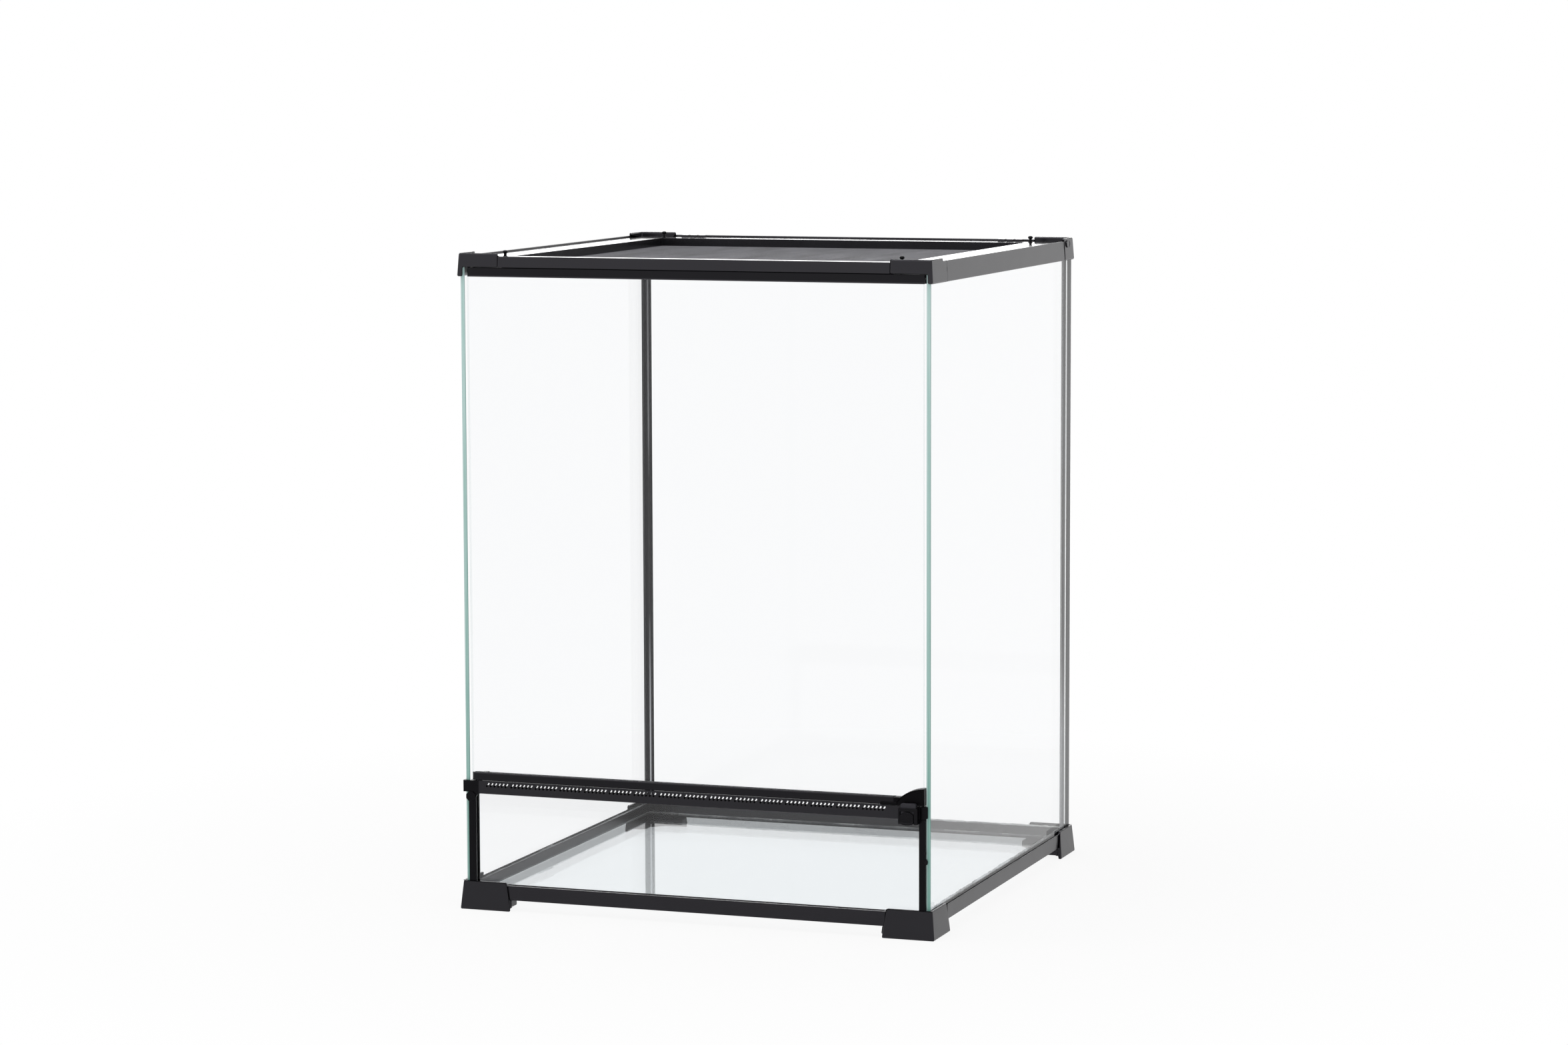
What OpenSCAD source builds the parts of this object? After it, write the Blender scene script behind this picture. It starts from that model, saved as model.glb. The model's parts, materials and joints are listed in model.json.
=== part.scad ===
// Front-opening glass reptile terrarium with a lift-off mesh lid.
// Millimetres, +Z up, origin on the table under the middle of the case, front towards -Y.

/* [Case] */
// Width over the frames
case_w = 450; // [420:5:600]
// Depth over the frames
case_d = 450; // [400:5:600]
// Height over the corner caps
case_h = 600; // [450:5:750]

/* [Glass] */
// Thickness of the side, back, front and door panes
pane_t = 4; // [3:0.5:4.5]
// Thickness of the floor pane
floor_t = 4; // [3:0.5:5]
// Outer face of the case to the outer face of a pane
pane_inset = 2.5; // [2.3:0.1:3]
// Front face of the case to the front edge of a side pane
pane_front = 3; // [2.8:0.1:3.4]
// Gap between a pane and the channel that holds it
pane_gap = 0.2; // [0.1:0.05:0.3]

/* [Base frame] */
// Height of the base rails above the table
base_z = 10.2; // [9:0.2:14]
// Height of a base rail
base_h = 13.3; // [12:0.1:18]
// How far the base rails stand back from the case's outer face
base_inset = 1; // [0.8:0.1:1.2]
// Height of a foot's skirt
foot_h = 26.5; // [25:0.5:32]
// Length of a foot's skirt along each side, at its top edge
foot_leg = 43; // [36:1:60]
// How far a foot's skirt leans out at the table
foot_flare = 2.5; // [1:0.5:4]
// How much longer a foot's skirt is at the table
foot_spread = 3.5; // [1:0.5:6]
// Corner radius at the upper end of a foot's skirt
foot_round = 2; // [1:0.5:3]
// Length of the block under the rails, along each side
block_len = 47; // [44:1:56]
// Width of the block under the rails
block_w = 20; // [14:1:26]
// Height of the block's underside above the table
block_z = 3.5; // [2:0.5:6]

/* [Top frame] */
// Height of the side and back rails
top_rail_h = 18.5; // [16:0.5:24]
// Height of the front rail
front_rail_h = 10; // [9.5:0.1:11]
// Height of the corner caps above the rails
cap_rise = 2.5; // [1:0.5:4]
// How far the outer faces lean in over a rail's height
rail_draft = 1.2; // [0:0.1:1.2]
// How far a corner stands proud of the rails
corner_proud = 0.4; // [0.2:0.1:0.6]
// Width from the case's outer face to the inside of the raised lip
lip_w = 3.2; // [3:0.1:4]
// Width of the ledge that carries the lid
ledge_w = 33; // [30:0.5:34]
// Thickness of the ledge
ledge_t = 2; // [1.5:0.1:2.4]
// Thickness of the inner channel walls
channel_wall = 1.6; // [1.2:0.1:2]
// Length of a top corner along the front and back
corner_leg_x = 39.5; // [39:0.5:46]
// Length of a front top corner along the side
front_leg_y = 45; // [38:1:60]
// Length of a back top corner along the side
back_leg_y = 32; // [28:1:44]
// Length of the raised cap along a front corner's side
cap_leg_y = 35; // [28:1:36]

/* [Lid] */
// Depth of the ledge below the top of the rails
lid_depth = 5.5; // [5:0.1:6]
// Thickness of the lid's flange
flange_t = 4.7; // [4.2:0.1:4.8]
// Gap between the lid and the frame around it
lid_gap = 0.4; // [0.2:0.1:0.6]
// Case's outer face to the lid's inner wall
lid_rim = 38.7; // [38:0.1:41]
// Thickness of the lid's inner wall
lid_wall = 2.1; // [1.6:0.1:3]
// Depth of the inner wall below the flange's top
lid_wall_h = 9.2; // [8:0.1:12]
// Width of the lip under the mesh
mesh_lip = 3.5; // [2:0.5:5]
// Thickness of the lip under the mesh
mesh_lip_t = 1; // [0.6:0.1:1.4]
// Thickness of the woven mesh
mesh_t = 0.6; // [0.4:0.1:0.8]
// Openings across the plain grid that stands for the mesh
mesh_cells = 12; // [8:1:12]
// Width of a bar of that grid
mesh_bar = 5; // [3:0.5:8]
// Length of a lid corner along each side
lid_corner_leg = 46; // [42:1:48]

/* [Lid pins] */
// Distance of a lid pin from the side of the case
pin_from_side = 36.5; // [32:0.5:37]
// Distance of a lid pin from the front or back of the case
pin_from_front = 26.5; // [22:0.5:28]
// Radius of a lid pin's shank
pin_r = 1.5; // [1.2:0.1:1.8]
// Radius of a lid pin's head
pin_head_r = 2.4; // [2.1:0.1:2.8]
// Height of a lid pin's head above the lid
pin_head_h = 5.2; // [4.6:0.2:8]
// Radial clearance of every turning or sliding pin
pin_fit = 0.06; // [0.03:0.01:0.1]
// Travel of a lid pin
pin_travel = 6; // [5:0.5:6]

/* [Cable gates] */
// Distance from the side of the case to the outer end of a cable port
port_from_side = 49; // [49:1:80]
// Length of a cable port
port_len = 25; // [20:1:34]
// Distance of the ports' rear edge from the back of the case
port_from_back = 9; // [8.6:0.1:10]
// Width of a cable port
port_w = 11; // [8:0.5:11.5]
// Thickness of a gate's plate
gate_t = 1.6; // [1.2:0.1:1.8]
// Gap between a gate and its track
gate_gap = 0.2; // [0.1:0.05:0.3]
// How far a gate overlaps the ends and front of its port
gate_lap = 1.5; // [1:0.1:2]
// Height of the grip ribs above the plate
rib_h = 2; // [1:0.5:3]
// Width of a grip rib
rib_w = 6.8; // [5:0.2:8]
// Number of grip ribs on a gate
rib_count = 3; // [2:1:3]

/* [Front] */
// Distance from the case's front face to the middle of the door
door_inset = 6; // [5.6:0.1:6.4]
// Height of the vent rail's underside above the table
vent_z = 107.4; // [80:1:160]
// Height of the vent rail
vent_h = 11.8; // [11:0.2:16]
// Thickness of the vent rail's front wall
vent_wall = 2.4; // [1.8:0.1:2.6]
// Distance from the case's front face to the vent rail's front
vent_inset = 1; // [0.8:0.1:1.4]
// Height of the pane's seat above the vent rail's underside
vent_seat = 4.6; // [3:0.2:6]
// Pitch of the vent slots in a group
slot_pitch = 3.7; // [3.2:0.1:4]
// Pitch of the slot groups
slot_group_pitch = 24.1; // [23:0.1:26]
// Vent slots in a group
slots_per_group = 6; // [4:1:6]
// Width of a vent slot
slot_w = 1.5; // [1:0.1:1.8]
// Height of a vent slot
slot_h = 4.6; // [3:0.2:5]
// Lean of a vent slot
slot_lean = 35; // [0:5:45]
// Width of the upright profiles beside the lower pane
upright_w = 6; // [5:0.2:8]

/* [Door] */
// Depth of the door's rails from front to back
door_rail_d = 8.6; // [7.6:0.1:8.8]
// Height of the door's top rail
door_top_h = 8.2; // [7:0.1:9]
// Height of the door's bottom rail
door_bottom_h = 6.9; // [6:0.1:9]
// Running gap above and below the door
door_gap = 0.4; // [0.3:0.1:0.6]
// Depth of the glass in the door's rails
door_bite = 2.9; // [2:0.1:3]
// Distance of the hinge axis from the side pane's inner face
hinge_in = 6; // [5.8:0.1:8]
// Radius of the hinge pins
hinge_pin_r = 1.5; // [1.2:0.1:1.8]
// Depth of the hinge pins in the fixed frame
hinge_pin_depth = 4; // [3:0.5:4]
// Gap at the door's free end
door_end_gap = 1.3; // [1:0.1:2]

/* [Handle and latch] */
// Width of the door's handle
handle_w = 28; // [26:0.5:36]
// Height of the door's handle
handle_h = 15.3; // [13:0.1:20]
// Depth of the handle from front to back
handle_d = 10; // [9:0.1:10]
// Length of the handle's tail along the rail
tail_len = 10; // [6:1:16]
// Height of the handle's tail
tail_h = 3.4; // [2:0.2:5]
// Width of the latch's box
latch_w = 17.7; // [17:0.1:20]
// Height of the latch's box
latch_h = 14.3; // [13:0.1:16]
// Depth of the latch's box in front of the vent rail
latch_d = 7; // [6.6:0.1:9]
// Wall of the latch's box
latch_wall = 1.2; // [1:0.1:1.4]
// Width of the latch's tongue
tongue_w = 14; // [10:0.5:14]
// Height of the tongue above the box
tongue_rise = 4; // [2:0.5:4]
// Gap between the latch's moving pieces and its box
latch_gap = 0.2; // [0.1:0.05:0.3]
// Width of the latch's button
button_w = 12.4; // [9:0.2:12.6]
// Height of the latch's button
button_h = 12; // [9:0.5:12]
// How far the button stands proud of the box
button_proud = 0.9; // [0.5:0.1:2]
// Wire radius of the latch's spring
spring_wire_r = 0.25; // [0.15:0.05:0.3]
// Outer radius of the latch's spring
spring_r = 1.5; // [1.2:0.1:1.6]
// Turns of the latch's spring
spring_turns = 6; // [4:1:8]

/* [Back posts and seals] */
// Width of a back corner post along the back
post_leg = 8; // [6:0.5:12]
// Width of a back corner post along the side
post_side = 3; // [2.4:0.2:8]
// Thickness of a back corner post
post_t = 1.5; // [1:0.1:2]
// Size of the silicone beads
bead = 1.8; // [1:0.1:2.2]

/* [Hidden] */
$fn = 64;
eps = 0.01;
half_w = case_w / 2;
half_d = case_d / 2;

// Panes
pane_in = pane_inset + pane_t;                     // outer face of the case to a pane's inner face
channel_in = pane_in + pane_gap;                   // and to the channel wall inside it
channel_end = channel_in + channel_wall;           // and to that wall's inner face
low_in = door_inset - pane_t / 2;                  // front of the case to the lower pane's front
low_end = low_in + pane_t + pane_gap + channel_wall; // and to the back of its channel
floor_top = base_z + floor_t;
base_web_t = 1.5;
pane_z0 = floor_top + base_web_t;                  // the side and back panes stand here
base_top = base_z + base_h;

// Top frame
rail_top = case_h - cap_rise;
ledge_top = rail_top - lid_depth;
ledge_bottom = ledge_top - ledge_t;
pane_z1 = ledge_bottom - 0.5;
side_rail_z = rail_top - top_rail_h;
front_rail_z = rail_top - front_rail_h;
channel_z = ledge_bottom - 9;                      // the inner channel walls reach down to here
stop_lap = 4;                                      // how far the door's stop reaches below the door's top

// Lid
lid_edge = lip_w + lid_gap;                        // outer face of the case to the lid's edge
lid_inner = lid_rim;                               // and to its inner wall
lid_drop = lid_rim - lid_wall;                     // and to that wall's outer face
flange_top = ledge_top + flange_t;
lid_bottom = flange_top - lid_wall_h;
mesh_z = lid_bottom + mesh_lip_t;
pin_tip_z = ledge_bottom - 1.5;

// Cable gates
gate_top = flange_top - 0.1;
gate_z = gate_top - gate_t;
gate_tongue = 0.8;                                 // the plate's edges run in grooves this deep
gate_tongue_t = 0.8;
gate_bar = port_from_back - 2.4;                   // outer face of the case to the track's rear side
gate_len = port_len + 2 * gate_lap;
gate_w = port_from_back + port_w + gate_lap - gate_bar;
gate_x = half_w - port_from_side - port_len / 2;   // middle of a shut gate
gate_travel = port_len + gate_lap / 2;
rib_gap = (gate_len - rib_count * rib_w) / (rib_count + 1);

// Front
door_y = -half_d + door_inset;                     // middle plane of the door and of the lower pane
vent_top = vent_z + vent_h;
vent_face = -half_d + vent_inset;
upright_in = pane_in + pane_gap;                   // side of the case to an upright profile
vent_left = upright_in + 9;                        // side of the case to the vent rail's left end
vent_right = upright_in + 5;                       // and to its right end
vent_web_t = 1.5;
slot_z = vent_z + vent_seat + vent_web_t + slot_h / 2;
bracket_z = vent_z + 1.2;                          // the brackets' ends stop short of the rail's underside
gusset_r = 4.8;
cap_r = 4.9;                                       // across the corners of the eight-sided cap

// Door
hinge_x = -half_w + pane_in + hinge_in;
door_bottom = vent_top + door_gap;
door_top = front_rail_z - door_gap;
door_right = half_w - pane_in - door_end_gap;
door_glass_z0 = door_bottom + door_bottom_h - door_bite;
door_glass_z1 = door_top - door_top_h + door_bite + 1;
hinge_edge = 4.5;                                  // hinge axis to the door pane's edge

// Handle and latch
handle_x = door_right - handle_w;
handle_y = -half_d + 0.2;                          // front face of the handle
handle_r = (handle_w * handle_w + handle_h * handle_h) / (2 * handle_h);
latch_x = handle_x + 6;                            // left side of the latch's box
latch_back = vent_face;
latch_top = vent_top - 0.9;
latch_z = latch_top - latch_h;
latch_front = latch_back - latch_d;
slot_start = -half_w + vent_left + 9;              // middle of the first slot
slot_room = latch_x - 14 - slot_start;             // the slots end at the handle's tail
slot_groups = floor(slot_room / slot_group_pitch) + 1;
tongue_x = latch_x + (latch_w - tongue_w) / 2;
tongue_y = latch_back - latch_wall - latch_gap;    // rear face of the tongue
tongue_t = latch_d - 2 * latch_wall - 2 * latch_gap;
tongue_top = latch_top + tongue_rise;
latch_travel = tongue_rise;
tongue_z = latch_z + latch_wall + latch_travel + latch_gap;
button_x = tongue_x;
button_z = latch_z - 0.8;
button_lip = 0.6;                                  // the button's lower edge stands out this much more
spring_bore_r = spring_r + 0.2;
spring_z = latch_z + latch_wall;
spring_top = tongue_top - 3.5;
spring_x = latch_x + latch_w / 2;
spring_y = tongue_y - tongue_t / 2;

plastic = [0.10, 0.10, 0.12];
grey_plastic = [0.28, 0.28, 0.30];
glass_tint = [0.75, 0.92, 0.88, 0.35];
silicone = [0.85, 0.87, 0.88, 0.7];
steel = [0.45, 0.46, 0.48];

// ---- Placing ----

// Children are drawn with the case's outer face on y = 0 and its inside towards +Y.
// On the left and right, their +X points to the front of the case.
module at_side(side) {
    if (side == "front") translate([0, -half_d, 0]) children();
    if (side == "back") mirror([0, 1, 0]) translate([0, -half_d, 0]) children();
    if (side == "left") rotate([0, 0, -90]) translate([0, -half_w, 0]) children();
    if (side == "right") mirror([1, 0, 0]) rotate([0, 0, -90]) translate([0, -half_w, 0]) children();
}

// Children are drawn with the corner's outer edge on the origin and the case towards +X and +Y
module at_corner(right, back) {
    translate([right ? half_w : -half_w, back ? half_d : -half_d, 0]) {
        if (right && back) rotate([0, 0, 180]) children();
        if (right && !back) mirror([1, 0, 0]) children();
        if (!right && back) mirror([0, 1, 0]) children();
        if (!right && !back) children();
    }
}

// A flat outline in (y, z), run along x
module along_x(x0, x1) {
    translate([x0, 0, 0]) rotate([90, 0, 90]) linear_extrude(x1 - x0) children();
}

// A flat outline in (x, z), run along y
module along_y(y0, y1) {
    translate([0, y1, 0]) rotate([90, 0, 0]) linear_extrude(y1 - y0) children();
}

// A box given by its lowest and highest corners
module span(low, high) {
    translate(low) cube(high - low);
}

// A rectangle given the same way
module flat(low, high) {
    translate(low) square(high - low);
}

// ---- Base frame ----

// Base rail in (inwards, up): an outer wall over the floor pane's edge and a channel for a pane
module base_section(pane_face) {
    channel = pane_face + pane_t + pane_gap;
    flat([base_inset, base_z], [pane_inset - pane_gap, base_top]);
    flat([base_inset, floor_top], [channel + channel_wall, pane_z0]);
    flat([channel, floor_top], [channel + channel_wall, base_top]);
    flat([base_inset, pane_z0 - eps], [pane_face - pane_gap, base_top]);
}

// The front and back rails fit between the side rails, whose channel walls let the back pane past
module base_rail(side) {
    long = side == "left" || side == "right";
    along = long ? half_d - base_inset : half_w - channel_end;
    color(plastic) at_side(side) difference() {
        along_x(-along, along) base_section(side == "front" ? low_in : pane_inset);
        if (long) span([-half_d, pane_in + pane_gap, pane_z0], [-half_d + pane_in + pane_gap, ledge_w, case_h]);
    }
}

// Outline of a foot's skirt in (along, up), leaning out at the corner and longer at the table
module skirt_outline() {
    difference() {
        polygon([[-foot_flare, 0], [foot_leg + foot_spread, 0], [foot_leg, foot_h], [0, foot_h]]);
        translate([foot_leg - foot_round, foot_h - foot_round]) difference() {
            square(foot_round + 1);
            circle(foot_round);
        }
    }
}

module foot(right, back) {
    skirt_in = base_inset - 0.1;
    reach = foot_leg + foot_spread;
    color(plastic) at_corner(right, back) {
        difference() {
            intersection() {
                along_x(-foot_flare, reach) skirt_outline();
                along_y(-foot_flare, reach) skirt_outline();
            }
            span([skirt_in, skirt_in, -1], [reach + 1, reach + 1, foot_h + 1]);
        }
        difference() {
            span([skirt_in - 0.4, skirt_in - 0.4, block_z], [block_len, block_len, base_z]);
            span([block_w, block_w, 0], [block_len + 1, block_len + 1, base_z + 1]);
            for (turn = [0, 1]) mirror([turn, -turn, 0])
                translate([block_len, block_w, 0]) rotate([0, 0, 45])
                    cube([8, 8, 3 * base_z], center = true);
        }
    }
}

// ---- Glass ----

module floor_glass() {
    color(glass_tint) span([-half_w + pane_inset, -half_d + pane_inset, base_z],
                           [half_w - pane_inset, half_d - pane_inset, floor_top]);
}

module side_glass(side) {
    color(glass_tint) at_side(side)
        span([-half_d + pane_inset, pane_inset, pane_z0], [half_d - pane_front, pane_in, pane_z1]);
}

module back_glass() {
    reach = half_w - pane_in - pane_gap;
    color(glass_tint) at_side("back") span([-reach, pane_inset, pane_z0], [reach, pane_in, pane_z1]);
}

module front_low_glass() {
    reach = half_w - upright_in - upright_w / 2;
    color(glass_tint) at_side("front")
        span([-reach, low_in, pane_z0], [reach, low_in + pane_t, vent_z + vent_seat]);
}

// ---- Back posts, uprights and seals ----

module back_post(right) {
    color(plastic) at_corner(right, true) translate([pane_in, pane_in, 0]) difference() {
        span([0, 0, base_top], [post_leg, post_side, channel_z]);
        span([post_t, post_t, 0], [post_leg + 1, post_side + 1, case_h]);
    }
}

// A channel that holds one end of the lower pane; the left one laps the side pane's edge
module upright(right) {
    lap = right ? 0 : 1;
    color(plastic) at_corner(right, false) difference() {
        union() {
            span([upright_in, vent_inset, base_top], [upright_in + upright_w, low_end, vent_z]);
            span([upright_in - lap, vent_inset, base_top], [upright_in + 1, pane_front - pane_gap, vent_z]);
        }
        span([upright_in + upright_w / 2 - pane_gap, low_in - pane_gap, 0],
             [upright_in + upright_w + 1, low_in + pane_t + pane_gap, case_h]);
    }
}

// A quarter-round bead of silicone in (inwards, up)
module bead_section(inset, z) {
    translate([inset, z]) intersection() {
        circle(bead);
        square(bead + 1);
    }
}

// Beads along the inside of all four walls of the case
module bead_ring(inset, front_inset, z) {
    front = half_d - front_inset;
    color(silicone) {
        at_side("left") along_x(-half_d + inset, front) bead_section(inset, z);
        at_side("right") along_x(-half_d + inset, front) bead_section(inset, z);
        at_side("back") along_x(-half_w + inset, half_w - inset) bead_section(inset, z);
        at_side("front") along_x(-half_w + inset, half_w - inset) bead_section(front_inset, z);
    }
}

module floor_seal() {
    bead_ring(channel_end, low_end, floor_top);
}

// The panes are sealed to the top of the base rails' inner walls, behind the back posts too
module pane_seal() {
    color(silicone) for (side = ["left", "right", "back"]) at_side(side) {
        along = (side == "back" ? half_w : half_d) - pane_in - post_leg - 1;
        along_x(-along, along) bead_section(pane_in, base_top);
    }
}

// ---- Vent rail and lower front ----

// One leaning slot in (along, up)
module slot(x) {
    translate([x, slot_z]) rotate(-slot_lean) square([slot_w, slot_h], center = true);
}

module vent_rail() {
    x0 = -half_w + vent_left;
    x1 = half_w - vent_right;
    color(plastic) at_side("front") {
        along_y(vent_inset, vent_inset + vent_wall) difference() {
            flat([x0, vent_z], [x1, vent_top]);
            for (group = [0 : slot_groups - 1], i = [0 : slots_per_group - 1])
                slot(slot_start + group * slot_group_pitch + i * slot_pitch);
        }
        along_x(x0, x1) {
            flat([vent_inset + vent_wall - eps, vent_z + vent_seat], [low_end, vent_z + vent_seat + vent_web_t]);
            flat([low_in + pane_t + pane_gap, vent_z], [low_end, vent_z + vent_seat + vent_web_t]);
        }
    }
}

// The block that ends the vent rail, with room for the lower pane below
module bracket_block(outer, inner) {
    difference() {
        span([outer, vent_inset, vent_z], [inner, low_end, vent_top]);
        span([upright_in + upright_w / 2 - pane_gap, low_in - pane_gap, 0],
             [inner + 1, low_in + pane_t + pane_gap, vent_z + vent_seat + pane_gap]);
    }
}

// The left bracket wraps the side pane's edge and carries the door's lower hinge pin
module vent_bracket_left() {
    color(plastic) at_corner(false, false) {
        difference() {
            bracket_block(upright_in, vent_left);
            translate([half_w + hinge_x, door_inset, vent_top - hinge_pin_depth])
                cylinder(r = hinge_pin_r + pin_fit, h = hinge_pin_depth + 1);
        }
        span([vent_inset - 0.5, vent_inset, bracket_z], [upright_in + eps, pane_front - pane_gap, vent_top]);
        span([vent_inset - 0.5, vent_inset, bracket_z], [pane_inset - pane_gap, pane_front + 8, vent_top]);
        along_y(vent_inset, vent_inset + vent_wall) translate([upright_in + upright_w, vent_z]) difference() {
            translate([0, -gusset_r]) square(gusset_r);
            translate([gusset_r, -gusset_r]) circle(gusset_r);
        }
    }
}

module vent_bracket_right() {
    color(plastic) at_corner(true, false) {
        bracket_block(upright_in, vent_right);
        span([upright_in - 2, vent_inset, bracket_z], [upright_in + eps, pane_front - pane_gap, vent_top]);
    }
}

// Eight-sided cap on the left upright, under the bracket
module bracket_cap() {
    color(plastic) at_corner(false, false)
        translate([upright_in + 1.4, vent_inset, vent_z - 2.9]) rotate([90, 0, 0]) rotate([0, 0, 22.5])
            cylinder(r = cap_r, h = 1.2, $fn = 8);
}

// ---- Latch ----

module latch_box() {
    color(plastic) difference() {
        span([latch_x, latch_front, latch_z], [latch_x + latch_w, latch_back, latch_top]);
        span([tongue_x - latch_gap, latch_front + latch_wall, latch_z + latch_wall],
             [tongue_x + tongue_w + latch_gap, latch_back - latch_wall, latch_top + 1]);
        span([button_x - latch_gap, latch_front - 1, latch_z - 1],
             [button_x + button_w + latch_gap, latch_front + latch_wall + 2 * latch_gap,
              button_z + button_h + latch_gap]);
    }
}

module latch_tongue() {
    round_r = 1.4;
    color(grey_plastic) difference() {
        along_y(tongue_y - tongue_t, tongue_y) difference() {
            flat([tongue_x, tongue_z], [tongue_x + tongue_w, tongue_top]);
            for (end = [0, 1]) translate([tongue_x + end * tongue_w, tongue_top]) mirror([end, 0])
                translate([round_r, -round_r]) difference() {
                    translate([-round_r - 1, 0]) square([round_r + 1, round_r + 1]);
                    circle(round_r);
                }
        }
        translate([spring_x, spring_y, tongue_z - 1])
            cylinder(r = spring_bore_r, h = spring_top - tongue_z + 1.1);
    }
}

// Outline of the button in (along, up): a low dome above and a rounded lip below
module button_outline() {
    intersection() {
        flat([button_x, button_z], [button_x + button_w, button_z + button_h]);
        translate([button_x + button_w / 2, button_z + button_w]) circle(button_w);
        translate([button_x + button_w / 2, button_z + button_h - button_w * 0.62]) scale(0.62) circle(button_w);
    }
}

module latch_button() {
    face = latch_front - button_proud;
    color(plastic) {
        along_y(face, tongue_y - tongue_t) button_outline();
        along_y(face - button_lip, face + eps) difference() {
            button_outline();
            translate([0, 1.6]) button_outline();
        }
    }
}

// A coil of round wire under the tongue
module latch_spring() {
    color(steel) translate([spring_x, spring_y, spring_z + eps])
        linear_extrude(spring_top - spring_z - 2 * eps, twist = -360 * spring_turns,
                       slices = 12 * spring_turns, $fn = 6)
            translate([spring_r - spring_wire_r, 0]) circle(spring_wire_r);
}

// ---- Top frame ----

// How far the drafted outer face stands in at a height
function lean(z) = rail_draft * (z - side_rail_z) / top_rail_h;

// Outer wall, raised lip, ledge and inner wall of a top rail in (inwards, up)
module top_section(z0, inner_wall, inner_z) {
    inner_end = inner_wall + channel_wall;
    polygon([[corner_proud + lean(z0), z0], [corner_proud + lean(rail_top), rail_top],
             [lip_w, rail_top], [lip_w, ledge_top], [ledge_w, ledge_top], [ledge_w, ledge_bottom],
             [inner_end, ledge_bottom], [inner_end, inner_z], [inner_wall, inner_z], [inner_wall, ledge_bottom],
             [pane_inset - pane_gap, ledge_bottom], [pane_inset - pane_gap, z0]]);
}

// The front rail's inner wall hangs behind the door as its stop
module top_rail_front() {
    stop = door_inset + door_rail_d / 2 + door_gap;
    reach = half_w - corner_leg_x;
    color(plastic) at_side("front") along_x(-reach, reach) top_section(front_rail_z, stop, door_top - stop_lap);
}

// The ports let cables down through the ledge
module top_rail_back() {
    reach = half_w - corner_leg_x;
    color(plastic) at_side("back") difference() {
        along_x(-reach, reach) top_section(side_rail_z, channel_in, channel_z);
        ports(ledge_bottom - 1, ledge_top + 1);
    }
}

module top_rail_side(side) {
    color(plastic) at_side(side) along_x(-half_d + back_leg_y, half_d - front_leg_y)
        top_section(side_rail_z, channel_in, channel_z);
}

// Outline of a corner's outer shape in (inwards, up)
module corner_outline(length) {
    polygon([[0, side_rail_z], [length, side_rail_z], [length, case_h], [lean(case_h), case_h]]);
}

module top_corner(right, back) {
    leg_y = back ? back_leg_y : front_leg_y;
    far = front_leg_y + 1;
    pane_space = pane_inset - pane_gap;
    color(plastic) at_corner(right, back) difference() {
        union() {
            difference() {
                intersection() {
                    along_x(0, corner_leg_x) corner_outline(leg_y);
                    along_y(0, leg_y) corner_outline(corner_leg_x);
                }
                span([lip_w, lip_w, ledge_top], [far, far, case_h + 1]);
                span([ledge_w, ledge_w, 0], [far, far, case_h]);
                if (back) span([pane_space, pane_space, 0], [far, far, ledge_bottom]);
                else {
                    // The front is open below the rail, but for a narrow leg over the side pane's edge
                    span([5, -1, 0], [far, far, front_rail_z]);
                    span([pane_space, pane_front - pane_gap, 0], [far, far, ledge_bottom]);
                    span([-1, cap_leg_y, rail_top], [far, far, case_h + 1]);
                }
            }
            if (back) {
                span([channel_in, channel_in, channel_z], [channel_end, leg_y, ledge_bottom + eps]);
                span([channel_in, channel_in, channel_z],
                     [corner_leg_x, channel_end, ledge_bottom + eps]);
            } else {
                span([channel_in, door_inset + door_rail_d, channel_z],
                     [channel_end, leg_y, ledge_bottom + eps]);
                // The front-left one carries the door's upper hinge pin
                if (!right) translate([half_w + hinge_x, door_inset, front_rail_z])
                    cylinder(r = hinge_pin_r + 2.5, h = ledge_top - front_rail_z);
            }
        }
        translate([pin_from_side, pin_from_front, ledge_bottom - 1]) cylinder(r = pin_r + pin_fit, h = ledge_t + 2);
        if (!right && !back) translate([half_w + hinge_x, door_inset, front_rail_z - 1])
            cylinder(r = hinge_pin_r + pin_fit, h = hinge_pin_depth + 1.2);
    }
}

// ---- Door ----

module door_glass() {
    color(glass_tint) span([hinge_x - hinge_edge, door_y - pane_t / 2, door_glass_z0],
                           [door_right - channel_wall, door_y + pane_t / 2, door_glass_z1]);
}

// A door rail with a round end on the hinge axis, room for the pane and a bore for the pin
module door_rail(x1, z0, z1, pane_z, pane_end, pin_z, pin_h) {
    color(plastic) difference() {
        union() {
            span([hinge_x, door_y - door_rail_d / 2, z0], [x1, door_y + door_rail_d / 2, z1]);
            translate([hinge_x, door_y, z0]) cylinder(r = door_rail_d / 2, h = z1 - z0);
        }
        span([hinge_x - hinge_edge - pane_gap, door_y - pane_t / 2 - pane_gap, pane_z],
             [x1 + 1, door_y + pane_t / 2 + pane_gap, pane_end]);
        translate([hinge_x, door_y, pin_z]) cylinder(r = hinge_pin_r, h = pin_h);
    }
}

module door_top_rail() {
    pane_end = door_glass_z1 + pane_gap;
    door_rail(door_right, door_top - door_top_h, door_top, door_top - door_top_h - 1, pane_end,
              pane_end - eps, door_top - pane_end + 1);
}

module door_bottom_rail() {
    pane_z = door_glass_z0 - pane_gap;
    door_rail(handle_x, door_bottom, door_bottom + door_bottom_h, pane_z, case_h,
              door_bottom - 1, pane_z - door_bottom + 1 + eps);
}

module hinge_pin_top() {
    z0 = door_glass_z1 + pane_gap;
    color(steel) translate([hinge_x, door_y, z0]) cylinder(r = hinge_pin_r, h = front_rail_z + hinge_pin_depth - z0);
}

module hinge_pin_bottom() {
    z0 = vent_top - hinge_pin_depth + 0.1;
    color(steel) translate([hinge_x, door_y, z0]) cylinder(r = hinge_pin_r, h = door_glass_z0 - pane_gap - z0);
}

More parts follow.
